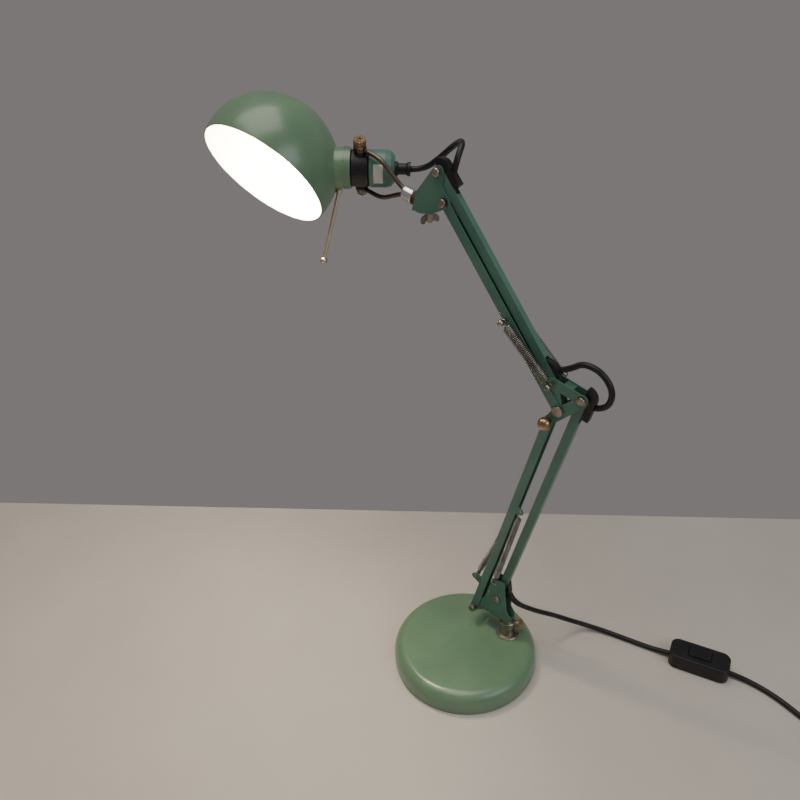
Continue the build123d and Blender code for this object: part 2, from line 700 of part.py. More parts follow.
with BuildPart() as tilt_screws:
    for side in (1, -1):
        with BuildSketch(Plane(origin=tilt_point + tilt_dir * (side * 14.7), z_dir=tilt_dir * side)):
            Circle(pin_r)
        extrude(amount=13)
save(tilt_screws, "tilt_screws")
save(turned(tilt_point, tilt_dir, [
    (pin_r + running, 21.6), (5.0, 21.6), (5.0, 22.6), (pin_r + running, 22.6)]), "tilt_washer")
with BuildPart() as tilt_knob:
    with BuildSketch(Plane(origin=tilt_point + tilt_dir * 22.7, z_dir=tilt_dir)):
        Circle(5.6)
        with PolarLocations(5.75, 18):
            Circle(0.45, mode=Mode.SUBTRACT)
        Circle(pin_r + running, mode=Mode.SUBTRACT)
    extrude(amount=5.8)
save(tilt_knob, "tilt_knob")
with BuildPart() as tilt_nut:
    with BuildSketch(Plane(origin=tilt_point - tilt_dir * 21.6, z_dir=-tilt_dir)):
        RegularPolygon(4.8, 6)
        Circle(pin_r + running, mode=Mode.SUBTRACT)
    extrude(amount=4.0)
save(tilt_nut, "tilt_nut")

collar_r = 17.6
with BuildPart() as shade:
    with Locations(shade_centre):
        Sphere(shade_r)
    with BuildSketch(Plane(origin=tilt_point + holder_dir * 8.5, z_dir=holder_dir)):
        Circle(collar_r)
    extrude(amount=22)
    for ridge in (10.6, 13.6):
        with BuildSketch(Plane(origin=tilt_point + holder_dir * ridge, z_dir=holder_dir)):
            Circle(collar_r + 0.6)
        extrude(amount=1.2)
    with Locations(shade_centre):
        Sphere(shade_r - shade_wall, mode=Mode.SUBTRACT)
    with BuildSketch(Plane(origin=tilt_point + holder_dir * 9.7, z_dir=holder_dir)):
        Circle(collar_r - 1.2)
    extrude(amount=30, mode=Mode.SUBTRACT)
    with BuildSketch(Plane(origin=tilt_point + holder_dir * 8, z_dir=holder_dir)):
        Circle(14.1)
    extrude(amount=3, mode=Mode.SUBTRACT)
    split(bisect_by=Plane(origin=shade_centre - shade_up * shade_depth, z_dir=shade_up), keep=Keep.TOP)
save(shade, "shade")

rod_turn = radians(20.0)
rod_down = -(tilt_dir * cos(rod_turn) + holder_dir.cross(tilt_dir) * sin(rod_turn))
rod_lean = radians(14.6)
rod_dir = (rod_down * cos(rod_lean) + holder_dir * sin(rod_lean)).normalized()
rod_foot = tilt_point + holder_dir * 19.5 + rod_down * (collar_r + 0.05)
with BuildPart() as handle_rod:
    with BuildSketch(Plane(origin=rod_foot + rod_dir * 1.2, z_dir=rod_dir)):
        Circle(3.2)
    extrude(amount=3.4)
    with BuildSketch(Plane(origin=rod_foot + rod_dir * 1.2, z_dir=rod_dir)):
        Circle(1.75)
    extrude(amount=70)
    with Locations(rod_foot + rod_dir * 72):
        Sphere(3.6)
save(handle_rod, "handle_rod")

save(turned(tilt_point, holder_dir, [
    (0, 13.6), (4.0, 13.6), (7.0, 15.5), (7.0, 32.8), (0, 32.8)]), "bulb_cap")
bulb_mid = 55.0
bulb_r = 22.0
with BuildPart() as bulb_globe:
    with BuildSketch(Plane(origin=tilt_point + holder_dir * 32.9, z_dir=holder_dir)):
        Circle(8.5)
    extrude(amount=8)
    with Locations(tilt_point + holder_dir * bulb_mid):
        Sphere(bulb_r)
save(bulb_globe, "bulb_globe")

# ---- cords held by the lamp ----
for held_name, held_route in (
        ("inner_cord_lower", inner_lower_route), ("inner_cord_upper", inner_upper_route),
        ("cord_tail", tail_route), ("knee_cord_loop", knee_route), ("head_cord_loop", head_route)):
    save(cord_tube(held_route, name=held_name), held_name)

# ---- free lead: stretch to the switch, stretch from it, put-away coil, plug ----
with BuildPart() as cord_lead:
    add(cord_tube(lead_route, name="cord_lead").part)
    add(cord_tube(lead_far_route, name="cord_lead beyond the switch").part)
save(cord_lead, "cord_lead")

coil_half_width = coil_turn_columns * cord_d / 2
with BuildPart() as cord_coil:
    with BuildSketch(Plane.XZ.offset(-coil_centre[1])):
        with Locations((coil_centre[0] + coil_mean_r, 0.3 + coil_turn_layers * cord_d / 2)):
            RectangleRounded(2 * coil_half_width, coil_turn_layers * cord_d, 2.5)
    revolve(axis=Axis((coil_centre[0], coil_centre[1], 0), (0, 0, 1)))
save(cord_coil, "cord_coil")

switch_width = 27.0
switch_split = 8.6
rocker_axle_r = 1.4
rocker_axle_z = 14.0
switch_top = 17.0
switch_middle = switch_start + switch_dir * (switch_length / 2)


def switch_plane(height):
    """Level plane at the middle of the switch, x along the cord."""
    return Plane(origin=(switch_middle.X, switch_middle.Y, height), x_dir=switch_dir, z_dir=(0, 0, 1))


def rocker_axle(radius, reach):
    """A round bar across the switch, on the line that its rocker turns on."""
    across = switch_dir.cross(Vector(0, 0, 1))
    with BuildPart() as piece:
        with BuildSketch(Plane(origin=switch_middle + Vector(0, 0, rocker_axle_z), z_dir=across)):
            Circle(radius)
        extrude(amount=reach, both=True)
    return piece.part


def switch_shell(low, high, floor, name):
    """One half of the in-line switch: a rounded shell, hollow towards the other half."""
    with BuildPart() as piece:
        with BuildSketch(switch_plane(low)):
            RectangleRounded(switch_length, switch_width, 8)
        extrude(amount=high - low)
        outside = piece.faces().sort_by(Axis.Z)[0 if floor else -1]
        fillet(outside.edges(), 1.8)
        with BuildSketch(switch_plane(low + 1.8 if floor else low)):
            RectangleRounded(switch_length - 3.6, switch_width - 3.6, 6.4)
        extrude(amount=high - low - 1.8, mode=Mode.SUBTRACT)
        if not floor:
            with BuildSketch(switch_plane(rocker_axle_z - 2.8)):
                with GridLocations(1, 15.2, 1, 2):
                    Rectangle(6, 2)
            extrude(amount=high - rocker_axle_z + 1.8)
            with BuildSketch(switch_plane(low)):
                Rectangle(22.4, 12.4)
            extrude(amount=20, mode=Mode.SUBTRACT)
            add(rocker_axle(rocker_axle_r + loose, 9.0), mode=Mode.SUBTRACT)
        add(cord_tube(lead_route, cord_d / 2 + 0.1).part, mode=Mode.SUBTRACT)
        add(cord_tube(lead_far_route, cord_d / 2 + 0.1).part, mode=Mode.SUBTRACT)
    save(piece, name)


switch_shell(0.2, switch_split, True, "switch_lower_shell")
switch_shell(switch_split + 0.05, switch_top, False, "switch_upper_shell")
with BuildPart() as switch_rocker:
    with BuildSketch(Plane(origin=switch_middle, x_dir=switch_dir, z_dir=switch_dir.cross(Vector(0, 0, 1)))):
        with BuildLine():
            Polyline(
                (-10.6, 13.0), (-10.6, 17.6), (0, 18.4), (10.6, 17.6), (10.6, 13.0), (0, 12.0),
                (-10.6, 13.0))
        make_face()
    extrude(amount=5.9, both=True)
    add(rocker_axle(rocker_axle_r, 8.4))
save(switch_rocker, "switch_rocker")

plug_z = 0.3 + coil_turn_layers * cord_d + 7.4
plug_dir = Vector(-1, 0, 0)
plug_start = Vector(coil_centre[0] + 2, coil_centre[1] + 24, plug_z)
plug_length = 30.0


def plug_plane(distance):
    """Plane across the plug, y across its pins."""
    return Plane(origin=plug_start + plug_dir * distance, x_dir=(0, 1, 0), z_dir=plug_dir)


with BuildPart() as plug_body:
    with BuildSketch(plug_plane(0)):
        RectangleRounded(16, 12, 4)
    with BuildSketch(plug_plane(plug_length)):
        RectangleRounded(32, 14, 6)
    loft()
    with BuildSketch(plug_plane(-12)):
        Circle(4.2)
    extrude(amount=12)
save(plug_body, "plug_body")
with BuildPart() as plug_pins:
    with BuildSketch(plug_plane(plug_length)):
        with GridLocations(19, 1, 2, 1):
            Circle(2.0)
    extrude(amount=19)
    fillet(plug_pins.edges().filter_by(GeomType.CIRCLE).group_by(Axis.X)[0], 1.0)
save(plug_pins, "plug_pins")
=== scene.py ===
import json
import math

import bpy
from mathutils import Matrix, Vector


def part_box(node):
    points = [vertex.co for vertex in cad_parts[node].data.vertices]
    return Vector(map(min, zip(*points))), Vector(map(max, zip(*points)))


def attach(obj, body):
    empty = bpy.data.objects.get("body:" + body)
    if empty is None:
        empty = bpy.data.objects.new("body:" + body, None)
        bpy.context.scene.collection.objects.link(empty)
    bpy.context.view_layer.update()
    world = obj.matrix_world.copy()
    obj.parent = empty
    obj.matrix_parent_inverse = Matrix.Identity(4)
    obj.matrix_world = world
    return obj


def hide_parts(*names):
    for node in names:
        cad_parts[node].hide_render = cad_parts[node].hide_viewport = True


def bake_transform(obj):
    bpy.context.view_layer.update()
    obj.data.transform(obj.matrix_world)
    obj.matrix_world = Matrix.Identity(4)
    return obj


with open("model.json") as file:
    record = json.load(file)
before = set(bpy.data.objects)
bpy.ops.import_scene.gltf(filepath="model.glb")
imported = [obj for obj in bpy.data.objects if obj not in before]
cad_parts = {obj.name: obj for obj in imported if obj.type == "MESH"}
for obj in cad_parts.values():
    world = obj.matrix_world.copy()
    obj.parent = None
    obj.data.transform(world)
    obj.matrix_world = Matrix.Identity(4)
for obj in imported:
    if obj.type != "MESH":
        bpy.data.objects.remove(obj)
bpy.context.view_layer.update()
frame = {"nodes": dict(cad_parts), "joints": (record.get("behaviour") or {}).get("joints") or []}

MM = 0.001
joints = {joint["name"]: joint for joint in frame["joints"]}


# ---- camera ----
CAMERA_PLACE = (-0.25908, 0.45343, 0.58016)
CAMERA_RIGHT = Vector((-0.77694, -0.62686, -0.05843))
CAMERA_UP = Vector((0.25093, -0.39345, 0.88444))
SENSOR_WIDTH_MM, LENS_MM = 36, 29.77


def make_camera():
    """Camera to the side and rear of the lamp, a little above its top, looking down at it."""
    turned = Matrix((CAMERA_RIGHT, CAMERA_UP, CAMERA_RIGHT.cross(CAMERA_UP))).transposed().to_4x4()
    data = bpy.data.cameras.new("camera")
    data.sensor_width = SENSOR_WIDTH_MM
    data.lens = LENS_MM
    camera = bpy.data.objects.new("camera", data)
    camera.matrix_world = Matrix.Translation(CAMERA_PLACE) @ turned
    bpy.context.collection.objects.link(camera)
    bpy.context.scene.camera = camera


make_camera()


# ---- helpers ----
def joint_axis(name):
    """(point, direction) of a joint."""
    joint = joints[name]
    return Vector(joint["pos_m"]), Vector(joint["axis"]).normalized()


def points_mm(points):
    """Points in metres of points in millimetres."""
    return [Vector(p) * MM for p in points]


def spline_line(points, resolution=12):
    """Points of the smooth line that has these control points."""
    curve = bpy.data.curves.new("route", "CURVE")
    curve.dimensions = "3D"
    curve.resolution_u = resolution
    spline = curve.splines.new("NURBS")
    spline.points.add(len(points) - 1)
    for place, point in zip(spline.points, points):
        place.co = (*point, 1)
    spline.order_u = 3
    spline.use_endpoint_u = True
    holder = bpy.data.objects.new("route", curve)
    mesh = bpy.data.meshes.new_from_object(holder)
    line = [v.co.copy() for v in mesh.vertices]
    bpy.data.objects.remove(holder)
    return line


def frames_along(line):
    """(point, side, other side) at each point of a line, turned as little as possible."""
    tangents = []
    for i in range(len(line)):
        tangents.append((line[min(i + 1, len(line) - 1)] - line[max(i - 1, 0)]).normalized())
    side = tangents[0].orthogonal().normalized()
    frames = []
    for point, tangent in zip(line, tangents):
        side = (side - tangent * side.dot(tangent)).normalized()
        frames.append((point, side, tangent.cross(side)))
    return frames


def link_mesh(name, vertices, faces, material, smooth=True):
    """A new mesh piece."""
    mesh = bpy.data.meshes.new(name)
    mesh.from_pydata([tuple(v) for v in vertices], [], faces)
    mesh.validate()
    mesh.polygons.foreach_set("use_smooth", [smooth] * len(mesh.polygons))
    piece = bpy.data.objects.new(name, mesh)
    bpy.context.collection.objects.link(piece)
    mesh.materials.append(material)
    return piece


def tube(name, line, radii, material, sides=16):
    """Closed tube along a line. radii is one radius, or one for each point."""
    if not isinstance(radii, (list, tuple)):
        radii = [radii] * len(line)
    vertices, faces = [], []
    for (point, side, other), radius in zip(frames_along(line), radii):
        for k in range(sides):
            turn = 2 * math.pi * k / sides
            vertices.append(point + (side * math.cos(turn) + other * math.sin(turn)) * radius)
    for i in range(len(line) - 1):
        for k in range(sides):
            a, b = i * sides + k, i * sides + (k + 1) % sides
            faces.append((a, b, b + sides, a + sides))
    last = (len(line) - 1) * sides
    faces.append(tuple(reversed(range(sides))))
    faces.append(tuple(range(last, last + sides)))
    return link_mesh(name, vertices, faces, material)


def past(points, distance, at_end=True):
    """Point straight on past an end of a route."""
    last, inner = (points[-1], points[-2]) if at_end else (points[0], points[1])
    return last + (last - inner).normalized() * distance


# ---- materials ----
class Nodes:
    """Short ways to build a material's node tree."""

    def __init__(self, name):
        self.material = bpy.data.materials.new(name)
        self.material.use_nodes = True
        self.tree = self.material.node_tree
        self.shader = self.tree.nodes["Principled BSDF"]
        self.place = self.add("ShaderNodeTexCoord").outputs["Object"]

    def add(self, kind, **values):
        """A node with its settings."""
        node = self.tree.nodes.new(kind)
        for key, value in values.items():
            setattr(node, key, value)
        return node

    def link(self, source, target):
        """Join two sockets."""
        self.tree.links.new(source, target)

    def stretched(self, scale):
        """Object coordinates scaled along each axis."""
        mapping = self.add("ShaderNodeMapping")
        mapping.inputs["Scale"].default_value = scale
        self.link(self.place, mapping.inputs["Vector"])
        return mapping.outputs["Vector"]

    def noise(self, scale, detail=4.0, rough=0.5, vector=None):
        """Noise value from 0 to 1."""
        node = self.add("ShaderNodeTexNoise")
        node.inputs["Scale"].default_value = scale
        node.inputs["Detail"].default_value = detail
        node.inputs["Roughness"].default_value = rough
        self.link(vector or self.place, node.inputs["Vector"])
        return node.outputs["Fac"]

    def ramp(self, value, stops):
        """Value to colour through a ramp of (position, colour) stops."""
        node = self.add("ShaderNodeValToRGB")
        elements = node.color_ramp.elements
        while len(elements) < len(stops):
            elements.new(0.5)
        for element, (position, colour) in zip(elements, stops):
            element.position = position
            element.color = (*colour, 1)
        self.link(value, node.inputs["Fac"])
        return node.outputs["Color"]

    def remap(self, value, low_in, high_in, low_out, high_out):
        """Value from one range into another."""
        node = self.add("ShaderNodeMapRange")
        settings = (low_in, high_in, low_out, high_out)
        for key, number in zip(("From Min", "From Max", "To Min", "To Max"), settings):
            node.inputs[key].default_value = number
        self.link(value, node.inputs["Value"])
        return node.outputs["Result"]

    def mix(self, factor, first, second):
        """Mix two colours by a factor."""
        node = self.add("ShaderNodeMix", data_type="RGBA")
        self.link(factor, node.inputs["Factor"])
        for socket, value in (("A", first), ("B", second)):
            target = [s for s in node.inputs if s.name == socket and s.type == "RGBA"][0]
            if isinstance(value, tuple):
                target.default_value = (*value, 1)
            else:
                self.link(value, target)
        return [s for s in node.outputs if s.type == "RGBA"][0]

    def bump(self, height, strength, distance):
        """Bump onto the shader's normal."""
        node = self.add("ShaderNodeBump")
        node.inputs["Strength"].default_value = strength
        node.inputs["Distance"].default_value = distance
        self.link(height, node.inputs["Height"])
        self.link(node.outputs["Normal"], self.shader.inputs["Normal"])

    def set(self, **values):
        """Constants on the shader's sockets."""
        for key, value in values.items():
            self.shader.inputs[key.replace("_", " ")].default_value = value


CHIP_COLOUR = (0.05, 0.06, 0.05)


def paint(name, base, dark, gloss=0.0, inner_skin=None):
    """Satin powder-coat paint: fine orange peel, faint blotches, small chips and rub marks."""
    m = Nodes(name)
    blotches = m.remap(m.noise(28, 5), 0.35, 0.65, 0, 1)
    colour = m.mix(blotches, base, dark)
    rubbed = m.remap(m.noise(160, 6, 0.65, m.stretched((1, 1, 0.35))), 0.68, 0.78, 0, 0.4)
    colour = m.mix(rubbed, colour, tuple(min(1, 1.5 * c + 0.03) for c in base))
    chips = m.add("ShaderNodeMath", operation="MULTIPLY")
    specks, chipped_areas = m.noise(330, 3, 0.6), m.noise(19, 2)
    m.link(m.remap(specks, 0.72, 0.75, 0, 0.7), chips.inputs[0])
    m.link(m.remap(chipped_areas, 0.64, 0.68, 0, 1), chips.inputs[1])
    colour = m.mix(chips.outputs["Value"], colour, CHIP_COLOUR)
    if inner_skin:
        colour = inner_skin(m, colour)
    m.link(colour, m.shader.inputs["Base Color"])
    m.link(m.remap(m.noise(40, 2), 0.1, 0.9, 0.36 - gloss, 0.46 - gloss), m.shader.inputs["Roughness"])
    orange_peel = m.noise(1500, 2)
    m.bump(orange_peel, 0.12, 0.0004)
    m.set(Specular_IOR_Level=0.5, Coat_Weight=0.15 + 2 * gloss, Coat_Roughness=0.2)
    return m.material


def metal(name, base, dark, rough, scratch=(6, 6, 0.5), tarnish=0.5):
    """Plated or bare metal: brushed streaks and dull tarnished patches."""
    m = Nodes(name)
    patch = m.remap(m.noise(70, 5, 0.6), 0.5 - 0.15 * tarnish, 0.72, 0, 1)
    m.link(m.mix(patch, base, dark), m.shader.inputs["Base Color"])
    streak = m.noise(900, 3, 0.6, m.stretched(scratch))
    m.link(m.remap(streak, 0.3, 0.7, rough - 0.07, rough + 0.12), m.shader.inputs["Roughness"])
    m.bump(streak, 0.15, 0.0002)
    m.set(Metallic=1.0)
    return m.material


def plastic(name, base, rough, grain=1800, strength=0.15):
    """Moulded plastic or rubber: fine grain, faint dust."""
    m = Nodes(name)
    dust = m.remap(m.noise(45, 6, 0.6), 0.5, 0.75, 0, 0.35)
    dusty = tuple(min(1, c * 1.4 + 0.03) for c in base)
    m.link(m.mix(dust, base, dusty), m.shader.inputs["Base Color"])
    m.link(m.remap(m.noise(200, 4), 0.3, 0.7, rough - 0.08, rough + 0.08), m.shader.inputs["Roughness"])
    m.bump(m.noise(grain, 2), strength, 0.0003)
    m.set(Specular_IOR_Level=0.4)
    return m.material


fork_point, tilt_axis = joint_axis("shade_tilt")
holder_axis = Vector((0.795, 0.602, 0.074)).normalized()
SHADE_REACH = 80.66  # mm, from the tilt axis to the middle of the shade's dome
shade_centre = fork_point + holder_axis * SHADE_REACH * MM
SHADE_SKIN = 60.4 * MM  # radius between the dome's inner and outer faces
SKIN_EDGE = 0.0001
ENAMEL_WHITE = (0.86, 0.85, 0.8)


def white_inside(m, colour):
    """White enamel on the inner skin of the shade, inside a radius from its centre."""
    away = m.add("ShaderNodeVectorMath", operation="DISTANCE")
    m.link(m.place, away.inputs[0])
    away.inputs[1].default_value = shade_centre
    inner = m.remap(away.outputs["Value"], SHADE_SKIN - SKIN_EDGE, SHADE_SKIN + SKIN_EDGE, 1, 0)
    return m.mix(inner, colour, ENAMEL_WHITE)


# The arms' green is a darker, bluer copy of the base's green: painted shade and cool light on a lamp
# painted in one colour all over.
SHADED_GREEN, SHADED_GREEN_DARK = (0.085, 0.2, 0.145), (0.065, 0.165, 0.125)
BASE_GREEN, BASE_DARK = (0.15, 0.262, 0.15), (0.125, 0.225, 0.135)
shaded_arm_paint = paint("shaded_green_paint", SHADED_GREEN, SHADED_GREEN_DARK)
base_green = paint("base_green_paint", BASE_GREEN, BASE_DARK, 0.1)
shade_paint = paint("shade_paint", BASE_GREEN, BASE_DARK, 0.1, inner_skin=white_inside)
nickel = metal("dark_nickel", (0.42, 0.37, 0.31), (0.12, 0.09, 0.07), 0.3)
brass = metal("antique_brass", (0.47, 0.33, 0.2), (0.14, 0.085, 0.05), 0.26)
pale_brass = metal("pale_nickel_brass", (0.68, 0.6, 0.46), (0.4, 0.32, 0.22), 0.24, tarnish=0.2)
chrome = metal("chrome", (0.8, 0.8, 0.82), (0.5, 0.5, 0.52), 0.16, tarnish=0.1)
bronze = metal("bronzed_wire", (0.2, 0.15, 0.115), (0.08, 0.055, 0.04), 0.34)
spring_steel = metal("spring_steel", (0.33, 0.32, 0.3), (0.12, 0.1, 0.08), 0.34)
iron = metal("cast_iron", (0.16, 0.16, 0.16), (0.08, 0.07, 0.06), 0.6)
black = plastic("black_plastic", (0.012, 0.012, 0.013), 0.42)
fibre = plastic("brown_fibre", (0.07, 0.035, 0.022), 0.6)
rubber = plastic("foot_rubber", (0.012, 0.012, 0.012), 0.7)
sheath = plastic("cord_sheath", (0.010, 0.010, 0.011), 0.38, 900, 0.08)
paper = plastic("blank_label", (0.62, 0.6, 0.54), 0.55)


GLOW_COLOUR, GLOW_STRENGTH = (1.0, 0.87, 0.66, 1), 230.0


def lamp_glow():
    """Lit opal bulb, warm white with faint patches."""
    m = Nodes("lit_bulb")
    patches = m.ramp(m.noise(30, 3), [(0.3, (1.0, 0.93, 0.8)), (0.7, (1.0, 0.96, 0.88))])
    m.link(patches, m.shader.inputs["Base Color"])
    m.set(Emission_Color=GLOW_COLOUR, Emission_Strength=GLOW_STRENGTH, Roughness=0.35)
    return m.material


glow = lamp_glow()

NODE_MATERIALS = {
    # arms, brackets and lampholder cap take the darker, bluer copy of the lamp's one paint: painted shade
    shaded_arm_paint: ("lower_bracket", "knee_bracket", "head_bracket", "lower_front_bar", "lower_rear_bar",
            "upper_front_bar", "upper_rear_bar", "holder_cap"),
    base_green: ("base_cover",),
    shade_paint: ("shade",),
    nickel: ("swivel_socket", "stem_pin", "socket_nut", "lower_pivot_pins", "knee_rear_pin",
             "knee_front_pin", "knee_knob_bolt", "knee_long_pin", "upper_spring_pin", "head_pivot_pins",
             "wing_screw", "wing_nut", "tilt_screws", "tilt_nut", "lower_spring_pin",
             "bracket_spring_pin", "yoke_lock_nut"),
    brass: ("knee_knob", "tilt_knob", "thumb_screw", "bulb_cap", "plug_pins"),
    pale_brass: ("handle_rod",),
    chrome: ("yoke_ferrule", "tilt_washer"),
    bronze: ("yoke_fork",),
    fibre: ("friction_ring",),
    iron: ("base_weight",),
    rubber: ("base_pad",),
    black: ("lower_cord_guide", "knee_cord_guide", "upper_cord_guide", "head_cord_guide", "holder_ring",
            "holder_core", "strain_relief", "plug_body", "switch_lower_shell", "switch_upper_shell",
            "switch_rocker"),
    sheath: ("inner_cord_lower", "inner_cord_upper"),
    glow: ("bulb_globe",),
}
for material, names in NODE_MATERIALS.items():
    for name in names:
        node = frame["nodes"][name]
        for place in node.material_slots:
            place.material = material


# ---- cords ----
CORD_D = 5.2 * MM
lower_foot, _ = joint_axis("lower_arm")
knee_foot, _ = joint_axis("upper_arm")
LOWER_ANGLE, UPPER_ANGLE = math.radians(106.66), math.radians(55.65)  # of the bars at rest, from +X


def in_bar(start, angle, pairs, y):
    """Points in space of (along, rear) millimetre pairs in a bar that starts at a pivot."""
    forward = Vector((math.cos(angle), 0, math.sin(angle)))
    rear = Vector((-math.sin(angle), 0, math.cos(angle)))
    foot = Vector((start.x, y * MM, start.z))
    return [foot + (forward * t + rear * n) * MM for t, n in pairs]


lower_inner = in_bar(lower_foot, LOWER_ANGLE, [
    (11.15, 9.7), (21.5, 0), (253.1, 0), (259.9, 4.06), (263.6, 11.2)], -0.9)
upper_inner = in_bar(knee_foot, UPPER_ANGLE, [
    (6.8, 10.5), (8.3, 4.2), (14.8, 0), (174, 0), (183.5, 5.0), (188.3, 11.2)], 0.7)
GAP = 0.1 * MM  # between one length of cord and what it meets
RELIEF_REACH = 44  # mm, from the tilt axis back to the end of the lampholder's strain relief
tail_route = (
    [past(lower_inner, GAP, False), past(lower_inner, 10 * MM, False)] + points_mm([(-12.4, -13.0, 56.0)]))
knee_route = (
    [past(lower_inner, GAP), past(lower_inner, 9.5 * MM)]
    + points_mm([(-89.5, -0.5, 336.0), (-79.5, 0.0, 351.0), (-63.5, 0.5, 356.0)])
    + [past(upper_inner, 8 * MM, False), past(upper_inner, GAP, False)])
relief_end = fork_point - holder_axis * RELIEF_REACH * MM
head_route = (
    [past(upper_inner, GAP), past(upper_inner, 9.5 * MM)]
    + points_mm([(56.5, -12.5, 516.5), (75.0, -27.5, 511.5), (95.9, -34.5, 499.0)])
    + [relief_end - holder_axis * 12 * MM, relief_end - holder_axis * GAP])
lead_route = (
    [past(tail_route, GAP), past(tail_route, 20 * MM)]
    + points_mm([
        (-31.0, -43.5, 30.0), (-43.0, -58.0, 17.5), (-56.0, -70.5, 8.0), (-74.0, -78.4, 3.6),
        (-101.0, -82.4, 3.0), (-127.0, -85.4, 3.2), (-146.0, -88.7, 5.5), (-173.0, -93.4, 5.6),
        (-200.0, -98.0, 5.5), (-220.0, -101.2, 3.2), (-246.0, -97.0, 2.9), (-274.0, -85.0, 2.9)]))


COIL_OUTER, COIL_INNER = 38.2, 27.8  # mm, radii of the outer and the inner windings
COIL_TURNS, COIL_STEPS, COIL_START = 6.86, 14, 0.235  # steps in a turn; it starts at a share of a turn
END_SHRINK, END_RISE = 14.5, 8.5  # mm, how far the coil's end comes in and up to the plug
RISE_FROM, RISE_TURNS = 6.35, 0.5


def coil_points():
    """Control points of the put-away coil, wound in, out and in again, in three layers."""
    coil_low, coil_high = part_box("cord_coil")
    middle = (Vector(coil_low) + Vector(coil_high)) / 2
    floor = coil_low[2] + CORD_D / 2
    places = []
    for i in range(int(COIL_TURNS * COIL_STEPS) + 1):
        t = i / COIL_STEPS
        radius = COIL_OUTER - CORD_D / MM * min(t, 2.0)
        if t > 3:
            radius = COIL_INNER + CORD_D / MM * min(t - 3, 2.0)
        if t > 6:
            radius = COIL_OUTER - END_SHRINK * (t - 6) / (COIL_TURNS - 6)
        layer = min(max(t - 2, 0), 1) + min(max(t - 5, 0), 1)
        rise = END_RISE * MM * min(max((t - RISE_FROM) / RISE_TURNS, 0), 1) ** 2
        angle = 2 * math.pi * (COIL_START + t)
        places.append(Vector((
            middle.x + radius * MM * math.cos(angle), middle.y + radius * MM * math.sin(angle),
            floor + layer * CORD_D + rise)))
    return places


BEFORE_PLUG, INTO_PLUG = Vector((7, -1.5, -0.6)), Vector((2, 0, 0))  # mm


def plug_entry():
    """A point before the plug, and the cord's end inside it."""
    plug_low, plug_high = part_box("plug_body")
    middle = (Vector(plug_low) + Vector(plug_high)) / 2
    end = Vector((plug_high[0], middle.y, middle.z))
    return [end + BEFORE_PLUG * MM, end - INTO_PLUG * MM]


lead_line = spline_line(lead_route + coil_points() + plug_entry(), resolution=6)
lead = tube("lead", lead_line, CORD_D / 2, sheath, sides=12)
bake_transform(lead)
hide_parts("cord_lead", "cord_coil")

tail_line = spline_line(tail_route)
tail = tube("lead_tail", tail_line, CORD_D / 2, sheath)
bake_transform(tail)
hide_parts("cord_tail")


GROOVE_DEPTH, GROOVE_EVERY = 0.25 * MM, 3


def sleeve(name, line, length, wide, thin):
    """Tapered ribbed strain relief on the first stretch of a line. Sizes are in millimetres."""
    reached, points, radii = 0.0, [line[0]], [wide * MM]
    for before, after in zip(line, line[1:]):
        reached += (after - before).length
        if reached > length * MM:
            break
        points.append(after)
        share = reached / (length * MM)
        groove = GROOVE_DEPTH if len(points) % GROOVE_EVERY == 0 else 0
        radii.append((wide + (thin - wide) * share) * MM - groove)
    piece = tube(name, points, radii, black)
    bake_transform(piece)


sleeve("lead_strain_relief", tail_line, length=20, wide=3.4, thin=2.75)


def split_loop(name, route, cuts, node):
    """A cord loop in lengths. cuts are shares of the line."""
    line = spline_line(route, resolution=16)
    edges = [0] + [int(cut * (len(line) - 1)) for cut in cuts] + [len(line) - 1]
    for i, (first, last) in enumerate(zip(edges, edges[1:])):
        piece = tube(f"{name}_{i + 1}", line[first:last + 1], CORD_D / 2, sheath)
        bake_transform(piece)
        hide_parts(node)


split_loop("knee_loop", knee_route, [0.5],
           "knee_cord_loop")
split_loop("head_loop", head_route, [0.38, 0.7],
           "head_cord_loop")


# ---- springs ----
EYE_RADIUS, EYE_STEPS = 2.3, 10  # of a hook round its pin, mm
EYE_FROM, EYE_SWEEP = -0.35, 1.55  # half turns
COIL_END_SHARE, COIL_END_TURNS = 0.25, 1.2  # share of the radius at an end, and turns to widen by one
SPRING_STEPS = 14  # points in a turn


def spring(name, start, end, radius, wire, pitch, hook, bodies):
    """Tension spring with a round hook at each end; bodies is not used."""
    along = (end - start).normalized()
    side = Vector((0, 1, 0))
    other = along.cross(side)
    body_start, body_end = start + along * hook, end - along * hook
    count = int((body_end - body_start).length / pitch * SPRING_STEPS)
    narrowing = COIL_END_TURNS * SPRING_STEPS

    def eye(centre, direction):
        """A round hook that curls round a pin."""
        curl = []
        for i in range(EYE_STEPS + 1):
            turn = math.pi * (EYE_FROM + EYE_SWEEP * i / EYE_STEPS)
            curl.append(centre - direction * math.cos(turn) * EYE_RADIUS * MM
                        + other * math.sin(turn) * EYE_RADIUS * MM)
        return curl

    line = list(reversed(eye(start, -along)))
    for i in range(count + 1):
        turn = 2 * math.pi * i / SPRING_STEPS
        taper = min(1.0, COIL_END_SHARE + i / narrowing, COIL_END_SHARE + (count - i) / narrowing)
        middle = body_start + (body_end - body_start) * (i / count)
        line.append(middle + (side * math.cos(turn) + other * math.sin(turn)) * (radius - wire) * taper)
    line += eye(end, along)
    piece = tube(name, line, wire, spring_steel, sides=8)
    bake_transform(piece)
    return piece


def pin_place(node):
    """Middle of a node's box, moved into the middle plane of the arms."""
    corner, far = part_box(node)
    return Vector(((corner[0] + far[0]) / 2, 0, (corner[2] + far[2]) / 2))


bracket_hook = pin_place("bracket_spring_pin")
far_hook = pin_place("lower_spring_pin")
near_low = Vector((13.0, 0, 90.5)) * MM
front_foot, _ = joint_axis("lower_front")
near_high = in_bar(front_foot, LOWER_ANGLE, [(158.0, 8.0)], 0)[0]


def at_y(point, y):
    """The same point at another distance from the middle plane, in millimetres."""
    return Vector((point.x, y * MM, point.z))


